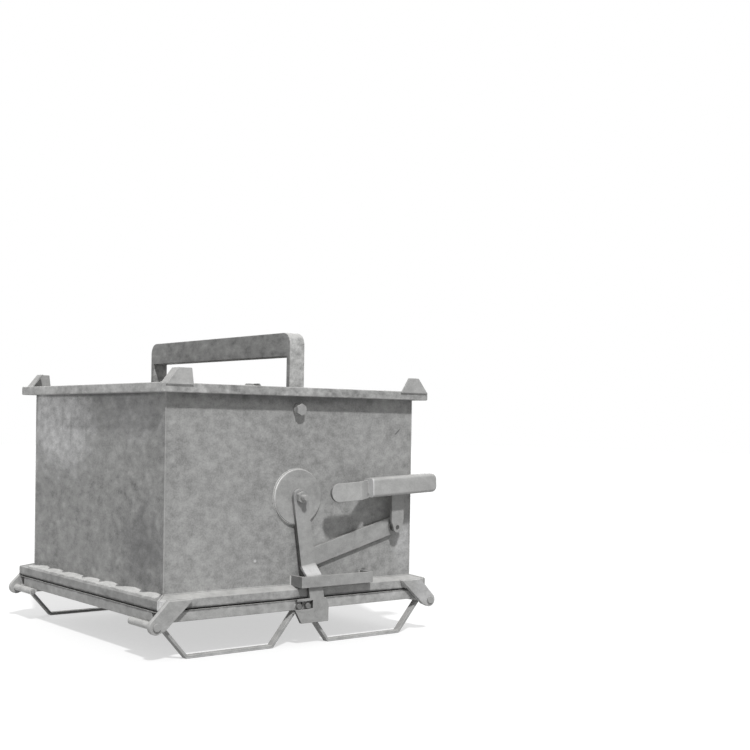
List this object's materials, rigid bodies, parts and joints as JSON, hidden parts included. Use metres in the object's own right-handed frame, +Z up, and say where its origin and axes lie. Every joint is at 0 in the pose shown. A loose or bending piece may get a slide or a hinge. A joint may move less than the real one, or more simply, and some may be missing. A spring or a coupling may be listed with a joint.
{
  "type": "bottom-opening container",
  "caption": "Square steel container for a fork truck, with a folding lifting bail, a floor of hinged flaps on bent feet, and hook levers that a side handle releases.",
  "frame": {"origin": "middle of the whole outline, handle included, on the ground that the feet stand on; the box's own middle is 18 mm to +Y", "axes": "X from the front end to the rear end, where the truck stands; -Y is the side with the release handle; Z up"},
  "size_m": [1.153, 1.172, 1.052],
  "materials": {
    "body_paint": "weathered satin paint on welded steel",
    "mechanism_paint": "worn satin paint on thick steel plate",
    "bare_steel": "dull bare steel, worn bright where it rubs"
  },
  "bodies": {
    "shell": {"front_wall": "body_paint", "rear_wall": "body_paint", "latch_wall": "body_paint", "plain_wall": "body_paint", "latch_disc": "mechanism_paint", "plain_disc": "mechanism_paint", "latch_guide": "mechanism_paint", "plain_guide": "mechanism_paint", "rim_latch": "body_paint", "rim_rear": "body_paint", "rim_plain": "body_paint", "rim_front": "body_paint", "frame_latch": "body_paint", "frame_rear": "body_paint", "frame_plain": "body_paint", "frame_front": "body_paint", "stacking_corner_front_latch": "body_paint", "stacking_corner_front_plain": "body_paint", "stacking_corner_rear_latch": "body_paint", "stacking_corner_rear_plain": "body_paint", "hinge_bracket_front_latch": "body_paint", "hinge_bracket_front_plain": "body_paint", "hinge_bracket_rear_latch": "body_paint", "hinge_bracket_rear_plain": "body_paint", "hinge_pins": "bare_steel", "bail_pins": "bare_steel", "bail_washers": "bare_steel", "bail_nuts": "bare_steel", "cross_tube": "body_paint"},
    "bail": {"bail_strap": "body_paint", "bail_box": "body_paint"},
    "front_flap": {"flap_side_rail_front_latch": "body_paint", "flap_side_rail_front_plain": "body_paint", "foot_front_latch": "body_paint", "foot_front_plain": "body_paint", "flap_floor_front": "body_paint", "flap_centre_rail_front": "body_paint", "flap_end_rail_front": "body_paint", "hinge_leaves_front": "body_paint", "keepers_front": "bare_steel"},
    "rear_flap": {"flap_side_rail_rear_latch": "body_paint", "flap_side_rail_rear_plain": "body_paint", "foot_rear_latch": "body_paint", "foot_rear_plain": "body_paint", "flap_floor_rear": "body_paint", "flap_centre_rail_rear": "body_paint", "flap_end_rail_rear": "body_paint", "hinge_leaves_rear": "body_paint", "keepers_rear": "bare_steel"},
    "latch": {"cross_shaft": "bare_steel", "shaft_nuts": "bare_steel", "latch_lever": "mechanism_paint", "plain_lever": "mechanism_paint", "release_arm": "mechanism_paint", "link_boss": "bare_steel", "link_strap": "mechanism_paint", "handle_bar": "mechanism_paint", "handle_grip": "mechanism_paint"}
  },
  "joints": [
    {"name": "front_flap_swing", "type": "hinge", "parent": "shell", "child": "front_flap", "pos_m": [-0.5525, 0.018, 0.113], "axis": [0, 1, 0], "range_deg": [0, 90]},
    {"name": "rear_flap_swing", "type": "hinge", "parent": "shell", "child": "rear_flap", "pos_m": [0.5525, 0.018, 0.113], "axis": [0, -1, 0], "range_deg": [0, 90]},
    {"name": "latch_swing", "type": "hinge", "parent": "shell", "child": "latch", "pos_m": [0, 0.018, 0.497], "axis": [0, -1, 0], "range_deg": [0, 22]},
    {"name": "bail_fold", "type": "hinge", "parent": "shell", "child": "bail", "pos_m": [0, 0.018, 0.792], "axis": [0, 1, 0], "range_deg": [-90, 90]}
  ],
  "couplings": [
    {"joint": "rear_flap_swing", "follows": "front_flap_swing", "ratio": 1},
    {"joint": "latch_swing", "follows": "front_flap_swing", "ratio": 0.24444}
  ]
}
